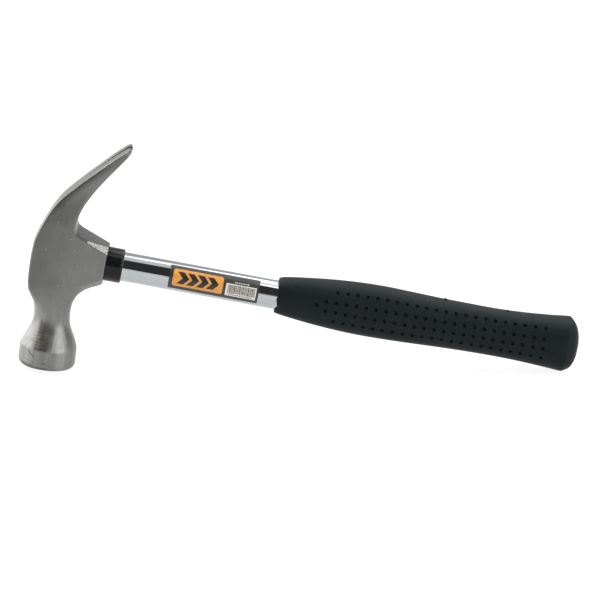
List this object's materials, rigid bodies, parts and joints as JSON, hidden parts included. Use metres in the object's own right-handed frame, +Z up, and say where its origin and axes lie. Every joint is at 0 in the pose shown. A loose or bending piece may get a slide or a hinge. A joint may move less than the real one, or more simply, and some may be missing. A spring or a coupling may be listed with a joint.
{
  "type": "claw hammer",
  "caption": "Claw hammer with a forged steel head, a split curved claw, a chrome-plated tubular shaft and a moulded rubber grip.",
  "frame": {"origin": "on the ground, under the middle of the hammer's box, with the hammer standing on the rim of its striking face and on its butt", "axes": "+X from the head to the butt, with the shaft sloping 10.5 degrees down that way; +Y across the hammer; +Z up, to the claw side"},
  "size_m": [0.3068, 0.0312, 0.1237],
  "materials": {
    "ground_steel": "satin, ground with fine vertical lines",
    "chrome": "polished",
    "plug_steel": "plain, with a punched dimple",
    "beech": "bare",
    "collar_plastic": "glossy black",
    "grip_rubber": "matt slate black with rows of small dimples",
    "plug_plastic": "as moulded",
    "label_film": "printed film, black with one orange and one pale panel"
  },
  "bodies": {
    "root": {"hammer_head": "ground_steel", "shaft_tube": "chrome", "eye_plug": "plug_steel", "eye_core": "beech", "collar": "collar_plastic", "grip": "grip_rubber", "butt_plug": "plug_plastic", "label": "label_film"}
  },
  "joints": []
}
